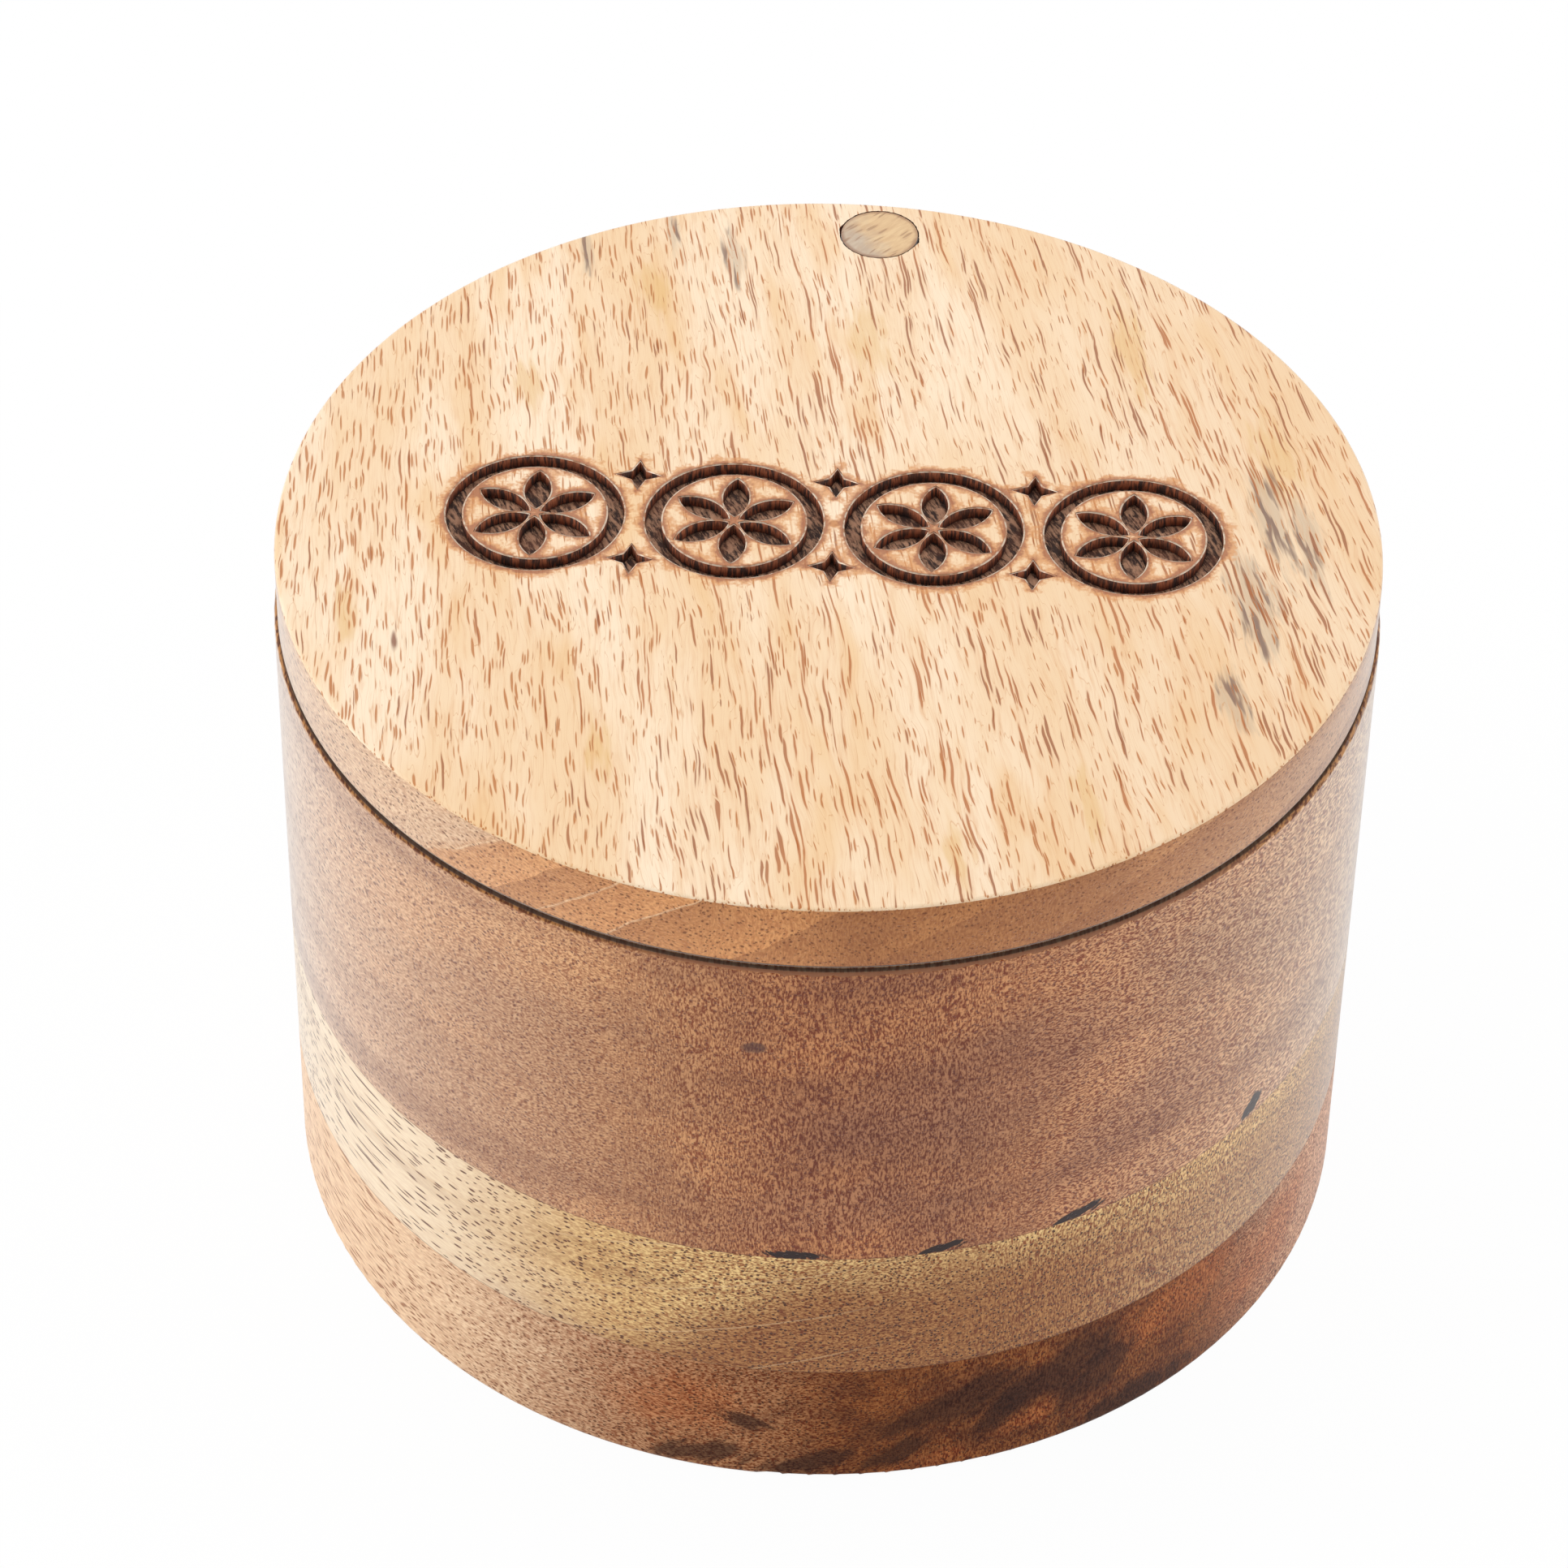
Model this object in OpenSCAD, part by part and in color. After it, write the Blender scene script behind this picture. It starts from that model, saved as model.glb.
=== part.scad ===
// Round turned wooden salt box. The body is three glued layers of board, bored out, and the flat
// lid swivels about a screw in the back of the wall. The screw head sits in a counterbore in the
// lid, under a dowel plug. A pair of disc magnets at the front holds the lid shut.
// The bottom of the box is at z = 0, the pivot is on +Y and the front is on -Y.

/* [Body] */
// Outer diameter of the body
body_d = 108; // [96:1:130]
// Height of the body up to its rim
body_h = 69; // [66:1:90]
// Thickness of the wall
wall_t = 10.8; // [10.5:0.1:14]
// Thickness of the bottom layer of board
base_layer_h = 15.5; // [15.5:0.5:18]
// Thickness of the middle layer of board
middle_layer_h = 15.9; // [12:0.1:18]
// Thickness of the floor inside the box
floor_t = 9; // [8:0.5:9]
// Radius where the floor meets the wall
floor_corner_r = 6; // [2:0.5:6]
// Rounding of the foot's outer edge
foot_edge_r = 0.8; // [0.4:0.1:2]
// Rounding of the rim's inner edge
rim_inner_r = 1.0; // [0.4:0.1:1.2]
// Rounding of the rim's outer edge
rim_outer_r = 0.3; // [0.2:0.1:0.6]

/* [Lid] */
// Thickness of the lid
lid_t = 7.4; // [7:0.1:10]
// How far the lid's edge stays inside the body's
lid_inset = 0.35; // [0.2:0.05:0.8]
// Gap between the rim and the lid
lid_gap = 0.4; // [0.3:0.05:0.6]
// Rounding of the lid's edges
lid_edge_r = 0.4; // [0.2:0.1:0.5]

/* [Pivot] */
// Distance of the pivot and the magnets from the outside of the body
pivot_inset = 5.6; // [5.4:0.1:5.8]
// Diameter of the dowel plug over the screw, and of the counterbore
plug_d = 8; // [7.5:0.5:8]
// Thickness of lid left under the counterbore
pivot_web_t = 2.6; // [2:0.1:2.8]
// Diameter of the screw's shank
screw_d = 4; // [3.5:0.5:4]
// Diameter of the screw's pan head
screw_head_d = 7; // [6:0.5:7]
// Height of the screw's pan head
screw_head_h = 2; // [1.6:0.1:2]
// Depth that the screw reaches below the rim
screw_reach = 25; // [16:1:28]

/* [Latch] */
// Diameter of the disc magnets
magnet_d = 6; // [5:0.5:7]
// Thickness of the disc magnets
magnet_t = 3; // [2:0.5:3]

/* [Hidden] */
$fn = 96;

body_r = body_d / 2;
bore_r = body_r - wall_t;
lid_r = body_r - lid_inset;
middle_top = base_layer_h + middle_layer_h;
lid_bottom = body_h + lid_gap;
lid_top = lid_bottom + lid_t;
pivot_y = body_r - pivot_inset;
latch_y = -pivot_y;

// Clearances: parts that are glued in, parts that turn, and the screw head over its washer
glue_gap = 0.05;
running_gap = 0.05;
head_play = 0.15;

washer_t = 0.6;
washer_r = plug_d / 2 - 0.3;
spacer_t = lid_gap - 0.05;
spacer_r = 4;
shank_r = screw_d / 2;
head_r = screw_head_d / 2;
counterbore_z = lid_bottom + pivot_web_t;
head_bottom = counterbore_z + washer_t + head_play;
head_top = head_bottom + screw_head_h;
head_crown_r = 0.8;
plug_bottom = head_top + head_play;
drive_w = 1.1;
drive_l = 4;
drive_depth = 1.2;
tip_z = body_h - screw_reach;
tip_h = 3;
pilot_extra = 1;
cut = 1;

// A rectangle of a turned profile, from x0 to x1 across and from z0 to z1 up
module band(x0, x1, z0, z1) {
    translate([x0, z0]) square([x1 - x0, z1 - z0]);
}

// What the corner at [x, z] of a profile loses when it is rounded to radius r.
// The wood lies towards [dx, dz], each of which is 1 or -1.
module eased(x, z, r, dx, dz) {
    translate([x + dx * r, z + dz * r])
        mirror([dx < 0 ? 0 : 1, 0])
            mirror([0, dz < 0 ? 0 : 1])
                difference() {
                    square(r + cut);
                    circle(r);
                }
}

module ring(outer_r, inner_r, h) {
    difference() {
        cylinder(r = outer_r, h = h);
        translate([0, 0, -cut]) cylinder(r = inner_r, h = h + 2 * cut);
    }
}

// The foot and floor of the box, dished at the top with a round inner corner
module base_layer() {
    color("#8a4f2b") rotate_extrude() difference() {
        band(0, body_r, 0, base_layer_h);
        eased(body_r, 0, foot_edge_r, -1, 1);
        band(0, bore_r - floor_corner_r, floor_t, base_layer_h + cut);
        band(0, bore_r, floor_t + floor_corner_r, base_layer_h + cut);
        translate([bore_r - floor_corner_r, floor_t + floor_corner_r]) circle(floor_corner_r);
    }
}

module middle_layer() {
    color("#cfa66b") translate([0, 0, base_layer_h]) ring(body_r, bore_r, middle_layer_h);
}

// The thick top ring, with its rim eased, the screw's pilot hole and the magnet's pocket
module upper_layer() {
    color("#94603f") difference() {
        rotate_extrude() difference() {
            band(bore_r, body_r, middle_top, body_h);
            eased(body_r, body_h, rim_outer_r, -1, -1);
            eased(bore_r, body_h, rim_inner_r, 1, -1);
        }
        translate([0, pivot_y, tip_z - pilot_extra])
            cylinder(r = shank_r + glue_gap, h = screw_reach + pilot_extra + cut);
        translate([0, latch_y, body_h - magnet_t - glue_gap])
            cylinder(r = magnet_d / 2 + glue_gap, h = magnet_t + glue_gap + cut);
    }
}

// The flat lid: a counterbore for the screw head, a running hole for its shank, a magnet pocket
module lid() {
    color("#e8c592") difference() {
        rotate_extrude() difference() {
            band(0, lid_r, lid_bottom, lid_top);
            eased(lid_r, lid_bottom, lid_edge_r, -1, 1);
            eased(lid_r, lid_top, lid_edge_r, -1, -1);
        }
        translate([0, pivot_y, counterbore_z]) cylinder(d = plug_d, h = lid_t);
        translate([0, pivot_y, lid_bottom - cut])
            cylinder(r = shank_r + running_gap, h = lid_t);
        translate([0, latch_y, lid_bottom - cut])
            cylinder(r = magnet_d / 2 + glue_gap, h = magnet_t + glue_gap + cut);
    }
}

module pivot_plug() {
    color("#b79a78") translate([0, pivot_y, plug_bottom])
        cylinder(r = plug_d / 2 - glue_gap, h = lid_top - plug_bottom);
}

// Pan-head screw: crowned head with a cross recess, plain shank and a pointed end
module pivot_screw() {
    color("silver") translate([0, pivot_y, 0]) difference() {
        rotate_extrude() {
            polygon([[0, tip_z], [shank_r, tip_z + tip_h], [0, tip_z + tip_h]]);
            band(0, shank_r, tip_z + tip_h, head_bottom);
            difference() {
                band(0, head_r, head_bottom, head_top);
                eased(head_r, head_top, head_crown_r, -1, -1);
            }
        }
        for (turn = [0, 90])
            rotate([0, 0, turn])
                translate([-drive_l / 2, -drive_w / 2, head_top - drive_depth])
                    cube([drive_l, drive_w, drive_depth + cut]);
    }
}

// Steel washer at the bottom of the counterbore, which the screw head bears on
module head_washer() {
    color("silver") translate([0, pivot_y, counterbore_z])
        ring(washer_r, shank_r + running_gap, washer_t);
}

// Thin washer that holds the lid just clear of the rim
module spacer_washer() {
    color("whitesmoke") translate([0, pivot_y, body_h])
        ring(spacer_r, shank_r + running_gap, spacer_t);
}

module disc_magnet(z) {
    color("gainsboro") translate([0, latch_y, z]) cylinder(d = magnet_d, h = magnet_t);
}

module rim_magnet() {
    disc_magnet(body_h - magnet_t);
}

module lid_magnet() {
    disc_magnet(lid_bottom);
}

base_layer();
middle_layer();
upper_layer();
lid();
pivot_plug();
pivot_screw();
head_washer();
spacer_washer();
rim_magnet();
lid_magnet();
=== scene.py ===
"""The looks of a round wooden salt box: oiled wood in three layers, and a pale carved lid."""
import math
import random

import bpy
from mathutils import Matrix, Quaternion, Vector, kdtree
from mathutils.geometry import delaunay_2d_cdt

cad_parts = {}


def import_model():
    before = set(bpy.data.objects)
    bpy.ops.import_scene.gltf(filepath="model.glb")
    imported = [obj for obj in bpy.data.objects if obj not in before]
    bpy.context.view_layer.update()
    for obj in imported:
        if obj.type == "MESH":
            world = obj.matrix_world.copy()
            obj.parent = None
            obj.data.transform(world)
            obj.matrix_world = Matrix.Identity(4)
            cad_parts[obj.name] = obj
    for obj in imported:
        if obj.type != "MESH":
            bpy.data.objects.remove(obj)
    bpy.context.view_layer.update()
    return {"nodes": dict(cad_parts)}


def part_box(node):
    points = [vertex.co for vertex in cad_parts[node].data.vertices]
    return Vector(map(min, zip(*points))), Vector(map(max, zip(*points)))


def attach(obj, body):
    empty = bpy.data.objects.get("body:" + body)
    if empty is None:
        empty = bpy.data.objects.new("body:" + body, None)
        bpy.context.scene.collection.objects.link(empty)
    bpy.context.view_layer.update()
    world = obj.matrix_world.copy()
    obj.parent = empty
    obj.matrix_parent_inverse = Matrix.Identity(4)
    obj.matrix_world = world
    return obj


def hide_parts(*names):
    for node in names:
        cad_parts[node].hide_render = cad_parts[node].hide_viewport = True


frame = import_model()
MM = 0.001

# The photograph's camera, in the frame of the box. Its azimuth turns the front a little to the left.
CAMERA_AZIMUTH = 5.9
CAMERA_ELEVATION = 41.98
CAMERA_DISTANCE = 584.3 * MM
CAMERA_ROLL = 0.94
CAMERA_SIDESTEP = -3.94 * MM
CAMERA_TARGET_HEIGHT = 43.7 * MM
CAMERA_LENS = 133.15
SENSOR_WIDTH = 36.0


def compass(angle, radius):
    """The point at a photograph angle, counted from the side that faces the camera towards +X."""
    turned = math.radians(angle + CAMERA_AZIMUTH)
    return Vector((radius * math.sin(turned), -radius * math.cos(turned)))


def seen_from_camera(right, away):
    """The point of a level plane that lies right and away of the axis, as the camera sees it."""
    turned = math.radians(CAMERA_AZIMUTH)
    return Vector((right * math.cos(turned) - away * math.sin(turned),
                   right * math.sin(turned) + away * math.cos(turned)))


# Sizes that the frame gives
LID_LOW, LID_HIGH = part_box("lid")
PLUG_LOW, PLUG_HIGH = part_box("pivot_plug")
WASHER_LOW, WASHER_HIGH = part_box("head_washer")
MAGNET_LOW, MAGNET_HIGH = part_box("lid_magnet")
BODY_LOW, BODY_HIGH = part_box("upper_layer")
BASE_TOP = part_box("base_layer")[1].z
BODY_R = BODY_HIGH.x
LID_R = LID_HIGH.x
LID_TOP = LID_HIGH.z
LID_BOTTOM = LID_LOW.z


class Value:
    """A number that varies over a surface. Arithmetic on it adds Math nodes."""

    def __init__(self, shade, socket):
        self.shade = shade
        self.socket = socket

    def __add__(self, other):
        return self.shade.math("ADD", self, other)

    def __sub__(self, other):
        return self.shade.math("SUBTRACT", self, other)

    def __rsub__(self, other):
        return self.shade.math("SUBTRACT", other, self)

    def __mul__(self, other):
        return self.shade.math("MULTIPLY", self, other)

    def __truediv__(self, other):
        return self.shade.math("DIVIDE", self, other)

    def __pow__(self, other):
        return self.shade.math("POWER", self, other)

    __radd__ = __add__
    __rmul__ = __mul__


class Shade:
    """A material. Each call adds a node and gives its output."""

    def __init__(self, name, roughness):
        self.material = bpy.data.materials.new(name)
        self.material.use_nodes = True
        self.tree = self.material.node_tree
        self.shader = self.tree.nodes["Principled BSDF"]
        self.shader.inputs["Roughness"].default_value = roughness

    def feed(self, socket, value):
        if isinstance(value, Value):
            value = value.socket
        if isinstance(value, bpy.types.NodeSocket):
            self.tree.links.new(value, socket)
        elif isinstance(value, tuple) and len(value) == 3 and socket.type == "RGBA":
            socket.default_value = (*value, 1)
        else:
            socket.default_value = value

    def node(self, kind, inputs, **settings):
        made = self.tree.nodes.new("ShaderNode" + kind)
        for key, setting in settings.items():
            setattr(made, key, setting)
        for key, value in inputs.items():
            self.feed(made.inputs[key], value)
        return made

    def math(self, operation, a, b=0.0, clamp=False):
        made = self.node("Math", {0: a, 1: b}, operation=operation, use_clamp=clamp)
        return Value(self, made.outputs[0])

    def point(self):
        """Where the surface is, in millimetres of the frame."""
        place = self.node("TexCoord", {}).outputs["Object"]
        scaled = self.node("VectorMath", {0: place, 1: (1 / MM,) * 3}, operation="MULTIPLY")
        parts = self.node("SeparateXYZ", {0: scaled.outputs[0]})
        return [Value(self, part) for part in parts.outputs]

    def vector(self, *parts):
        return self.node("CombineXYZ", dict(enumerate(parts))).outputs[0]

    def noise(self, x, y, z, detail=2.0, roughness=0.5):
        made = self.node("TexNoise", {"Vector": self.vector(x, y, z), "Scale": 1.0,
                                      "Detail": detail, "Roughness": roughness})
        return Value(self, made.outputs["Fac"])

    def cells(self, x, y, z):
        """Points scattered through space: the distance to the nearest, and a number drawn for it."""
        made = self.node("TexVoronoi", {"Vector": self.vector(x, y, z), "Scale": 1.0})
        drawn = self.node("SeparateColor", {0: made.outputs["Color"]})
        return Value(self, made.outputs["Distance"]), Value(self, drawn.outputs[0])

    def ramp(self, value, low, high):
        """0 up to low, 1 from high, with a smooth rise between. High may be below low."""
        made = self.node("MapRange", {"Value": value, "From Min": low, "From Max": high},
                         interpolation_type="SMOOTHSTEP")
        return Value(self, made.outputs[0])

    def mix(self, share, a, b, blend="MIX"):
        made = self.node("Mix", {}, data_type="RGBA", blend_type=blend)
        for index, value in ((0, share), (6, a), (7, b)):
            self.feed(made.inputs[index], value)
        return made.outputs[2]

    def facing(self, direction):
        """How squarely the surface faces along a direction, either way: 0 to 1."""
        normal = self.node("NewGeometry", {}).outputs["True Normal"]
        local = self.node("VectorTransform", {0: normal}, vector_type="NORMAL",
                          convert_from="WORLD", convert_to="OBJECT").outputs[0]
        dot = self.node("VectorMath", {0: local, 1: direction}, operation="DOT_PRODUCT")
        return self.math("ABSOLUTE", Value(self, dot.outputs["Value"]))

    def finish(self, colour, bump=None, bump_height=0.012 * MM, roughness=None):
        self.feed(self.shader.inputs["Base Color"], colour)
        if roughness is not None:
            self.feed(self.shader.inputs["Roughness"], roughness)
        if bump is not None:
            made = self.node("Bump", {"Height": bump, "Distance": bump_height})
            self.feed(self.shader.inputs["Normal"], made.outputs[0])
        return self.material


def srgb(red, green, blue):
    """A colour as a screen shows it, 0 to 255, as the linear light that a shader takes."""
    return tuple(c / 12.92 if c <= 0.04045 else ((c + 0.055) / 1.055) ** 2.4
                 for c in (red / 255, green / 255, blue / 255))


class Grain:
    """Wood coordinates: across, along and up the grain, in millimetres, with its slow waves."""

    def __init__(self, shade, heading, fan=0.0, sway=0.8, lift=1.6, curl=0.0, shift=0.0):
        x, y, z = shade.point()
        turned = math.radians(heading)
        self.direction = (-math.sin(turned), math.cos(turned), 0.0)
        along = y * math.cos(turned) - x * math.sin(turned)
        across = (x * math.cos(turned) + y * math.sin(turned)) * (along * fan + 1.0)
        side_wave = shade.noise(across / 6 + shift, along / 17, z / 9, detail=2.5) - 0.5
        up_wave = shade.noise(across / 3.5, along / 15 + shift, z / 6, detail=1.5) - 0.5
        curl_wave = shade.noise(across / 2.2, along / 5, z / 2.2 + shift) - 0.5
        self.along = along
        self.across = across + side_wave * sway + curl_wave * curl
        self.up = z + up_wave * lift
        self.z = z


def vessels(shade, grain, width, length, radius, gate=1.0):
    """Spindles along the grain, which the surface cuts to dots on end grain and to tapered streaks
    on long grain. Gives their dark cores and the haloes round them."""
    distance, drawn = shade.cells(grain.across / width, grain.along / length, grain.up / width)
    reach = (drawn * 0.6 + 0.7) * radius * gate
    return shade.ramp(distance, reach, reach * 0.72), shade.ramp(distance, reach * 1.9, reach * 0.7)


def flecks(shade, grain, end):
    """Fine flecks, 0 to 1: dashes along the grain on long grain, and upright rays on end grain."""
    dash = shade.noise(grain.across * 3.2, grain.along * 0.75, grain.up * 5.0, detail=1.0, roughness=0.6)
    ray = shade.noise(grain.across * 5.4, grain.along * 0.75, grain.up * 2.0, detail=1.0, roughness=0.6)
    return dash + (ray - dash) * shade.ramp(end, 0.90, 0.985)


# What the pale and the dark flecks multiply the wood's tone by
PALE_FLECK = (1.55, 1.85, 2.0)
DARK_FLECK = (0.50, 0.24, 0.14)


def speckled(shade, tone, fleck, depth):
    """The tone with its flecks: paler and greyer where they are high, darker and redder where low."""
    tone = shade.mix(shade.ramp(fleck, 0.50, 0.62) * depth, tone, PALE_FLECK, "MULTIPLY")
    return shade.mix(shade.ramp(fleck, 0.48, 0.36) * depth, tone, DARK_FLECK, "MULTIPLY")


def from_pith(shade, grain, centre, wobble):
    """How far out of the tree's middle a point is. Centre is across and above, in the frame."""
    right = grain.across - centre[0]
    rise = grain.z - centre[1]
    wander = shade.noise(grain.across / 14, grain.along / 60, grain.z / 9) - 0.5
    return (right * right + rise * rise) ** 0.5 + wander * wobble


def rings(shade, reach, gap, half_width):
    """Growth rings: 1 on each thin line, 0 between."""
    share = shade.math("FRACT", reach / gap)
    middle = shade.math("ABSOLUTE", share - 0.5) * gap
    return shade.ramp(middle, half_width, 0.0)


def wall_spot(shade, place, angle, height, half_width, half_height, lean=0.0, ragged=0.25, soft=0.45):
    """An oval mark on the wall: 1 inside, 0 outside, with a ragged edge. Lean shifts its top."""
    x, y, z = place
    cx, cy = compass(angle, BODY_R / MM)
    turned = math.radians(angle + CAMERA_AZIMUTH)
    right, ahead = math.cos(turned), math.sin(turned)
    rise = z - height
    side = (x - cx) * right + (y - cy) * ahead - rise * (lean * half_width / half_height)
    inward = (x - cx) * ahead - (y - cy) * right
    wide, tall, deep = side / half_width, rise / half_height, inward / SPOT_DEPTH
    reach = (wide * wide + tall * tall + deep * deep) ** 0.5
    scale = SPOT_RAGGEDNESS / half_height
    edge = shade.noise(side * scale, rise * scale * 0.55, inward * scale * 0.3, detail=4.0, roughness=0.6)
    return shade.ramp(reach + (edge - 0.5) * ragged * 4, 0.92 + soft / 2, 0.92 - soft / 2)


def glue_line(shade, z, height):
    """The thin dark line where two layers meet."""
    return shade.ramp(shade.math("ABSOLUTE", z - height), 0.14, 0.04)


SPOT_DEPTH = 6.0
SPOT_RAGGEDNESS = 0.9


def oil(shade, sheen=1.0, gloss=0.15):
    """The thin satin finish over the wood."""
    shade.shader.inputs["Specular IOR Level"].default_value = gloss
    shade.shader.inputs["Sheen Weight"].default_value = sheen
    shade.shader.inputs["Sheen Roughness"].default_value = 0.38


# Angle, height, half width and half height of the dark bark flecks on the upper glue line, in mm,
# and how far each leans
BARK_FLECKS = [(-2.4, 31.9, 3.1, 0.6, -0.2), (12.8, 32.0, 1.9, 0.75, 0.7), (27.7, 32.1, 2.3, 0.85, 0.7),
               (51.5, 32.7, 1.4, 1.4, 0.4)]
KNOT = (-6.7, 59.2, 1.25, 0.75)
# The same for the soft dark clouds of the upper layer, and for the clouds and glows of the base
UPPER_CLOUDS = [(14, 52, 16, 9, 0.4), (34, 42, 10, 7, 0.5), (2, 38, 14, 4, 0.2), (120, 50, 22, 9, 0.3),
                (175, 40, 20, 6, 0.2), (235, 52, 20, 8, 0.2)]
BASE_CLOUDS = [(-6.8, 7.8, 2.6, 1.2, -0.8), (-11.8, 2.4, 4.6, 1.9, 0.4), (-0.4, 2.2, 3.4, 2.2, 0.7),
               (8.5, 3.0, 2.4, 2.4, 0.8), (14.5, 9.0, 5.5, 4.0, 0.8), (26.0, 9.6, 6.6, 4.4, 0.5),
               (31, 7.2, 4.0, 4.0, 0.4), (36, 1.5, 8.0, 2.2, 0.0), (19.5, 6.0, 2.0, 3.6, 0.9),
               (112, 5, 12, 4, 0.5), (146, 9, 12, 3.5, 0.5)]
BASE_GLOWS = [(-14, 9, 6.5, 4.0, 0.0), (42, 12, 9, 4.5, 0.3), (24, 4.8, 3.0, 1.8, 0.6), (12, 1.4, 4, 1.6, 0.5),
              (58, 8, 8, 5, 0.3), (128, 6, 12, 4, 0.2)]


def upper_wood():
    shade = Shade("wood_upper", 0.36)
    oil(shade)
    grain = Grain(shade, 6.0, lift=1.6, sway=1.4, shift=3.0)
    place = shade.point()
    end = shade.facing(grain.direction)
    cloud = shade.ramp(shade.noise(grain.across / 18, grain.along / 60, grain.z / 14, detail=3.0), 0.36, 0.64)
    band = shade.noise(grain.across / 60, grain.along / 120, grain.z / 4.5, detail=2.0)
    fleck = flecks(shade, grain, end)
    right_tone = shade.mix(end ** 1.3, srgb(212, 174, 136), shade.mix(cloud, srgb(182, 115, 70), srgb(154, 94, 58)))
    left_tone = shade.mix(end ** 1.3, srgb(222, 190, 162), shade.mix(cloud, srgb(204, 143, 92), srgb(180, 124, 82)))
    tone = shade.mix(shade.ramp(place[0], 6.0, -24.0), right_tone, left_tone)
    for angle, height, half_width, half_height, lean in UPPER_CLOUDS:
        mark = wall_spot(shade, place, angle, height, half_width, half_height, lean, ragged=0.4, soft=1.1)
        tone = shade.mix(mark * 0.35, tone, srgb(124, 78, 62))
    tone = shade.mix(shade.ramp(band, 0.48, 0.66) * 0.3, tone, srgb(124, 70, 44))
    tone = speckled(shade, tone, fleck, shade.ramp(place[0], -38.0, 20.0) * 0.8 + 0.45)
    core, halo = vessels(shade, grain, 0.42, 2.0, 0.31)
    tone = shade.mix(halo * 0.1, tone, srgb(130, 72, 46))
    tone = shade.mix(core * 0.7, tone, srgb(108, 50, 32))
    tone = shade.mix(glue_line(shade, place[2], BODY_LOW.z / MM) * 0.5, tone, srgb(96, 56, 38))
    for mark in BARK_FLECKS:
        tone = shade.mix(wall_spot(shade, place, *mark, ragged=0.5, soft=0.25), tone, srgb(38, 13, 9))
    tone = shade.mix(wall_spot(shade, place, *KNOT) * 0.75, tone, srgb(84, 50, 46))
    x, y, _ = place
    up = shade.ramp(shade.facing((0.0, 0.0, 1.0)), 0.3, 0.8)
    tone = shade.mix(up * 0.4, tone, srgb(186, 128, 86))
    sawn = shade.mix(shade.ramp(fleck, 0.4, 0.6), srgb(104, 56, 28), srgb(192, 134, 78))
    # At the front, where the top face beyond the lid is not lit, it takes one plain darker colour in place of its
    # sawn texture: painted shade.
    lit = shade.ramp(x, -4.0, -22.0) + shade.ramp(x, 36.0, 48.0) + shade.ramp(y, -10.0, 10.0)
    sawn = shade.mix(shade.math("MINIMUM", lit, 1.0), srgb(156, 106, 78), sawn)
    beyond = shade.ramp((x * x + y * y) ** 0.5, LID_R / MM - 0.1, LID_R / MM + 0.05)
    tone = shade.mix(up * beyond, tone, sawn)
    # A dark ring on the top face just inside the lid's edge, seen down the gap under the lid: painted shade of that
    # gap.
    gap_shade = shade.ramp((x * x + y * y) ** 0.5, LID_R / MM - 0.6, LID_R / MM - 0.45) * (1.0 - beyond)
    tone = shade.mix(up * gap_shade * 0.85, tone, srgb(52, 29, 20))
    return shade.finish(tone, bump=core * -1.0 + fleck * 0.4, roughness=fleck * 0.2 + 0.26)


def middle_wood():
    shade = Shade("wood_middle", 0.36)
    oil(shade, sheen=0.75)
    grain = Grain(shade, 41.0, lift=1.2, sway=1.0, shift=11.0)
    x, y, z = shade.point()
    end = shade.facing(grain.direction)
    cloud = shade.noise(grain.across / 14, grain.along / 60, grain.z / 4, detail=3.0) - 0.5
    fleck = flecks(shade, grain, end)
    edge = shade.ramp(x, 8.0, -16.0) * -15.0 + 30.0
    sap = shade.ramp(z - edge + cloud * 7.0, -6.0, 5.0)
    cream = shade.ramp(x + cloud * 12.0, -14.0, -38.0)
    reach = from_pith(shade, grain, (2.9, -72.5), 0.9)
    heart = shade.mix(shade.ramp(x, 26.0, 46.0), srgb(160, 104, 58), srgb(184, 136, 90))
    tone = shade.mix(sap, heart, srgb(218, 174, 115))
    tone = shade.mix(cream, tone, srgb(247, 223, 190))
    tone = shade.mix(shade.ramp(cloud, 0.04, 0.2) * 0.35, tone, srgb(140, 88, 50))
    tone = speckled(shade, tone, fleck, shade.ramp(x, -34.0, 6.0) * 0.9 + 0.08)
    fine_lines = rings(shade, reach, 1.83, 0.11)
    tone = shade.mix(fine_lines * shade.ramp(x, 0.0, 25.0) * 0.35, tone, srgb(112, 70, 44))
    line_tone = shade.mix(shade.ramp(x, 4.0, 14.0), srgb(232, 196, 150), srgb(104, 64, 42))
    tone = shade.mix(rings(shade, reach, 5.5, 0.13) * 0.6, tone, line_tone)
    core, halo = vessels(shade, grain, 0.38, 12.0, 0.33)
    tone = shade.mix(halo * 0.2, tone, srgb(186, 122, 66))
    tone = shade.mix(core * 0.95, tone, shade.mix(shade.ramp(x, -30.0, 10.0), srgb(100, 48, 16), srgb(72, 30, 8)))
    tone = shade.mix(glue_line(shade, z, BASE_TOP / MM) * 0.6, tone, srgb(84, 50, 36))
    return shade.finish(tone, bump=core * -1.0 + fleck * 0.2, roughness=fleck * 0.2 + 0.26)


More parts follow.
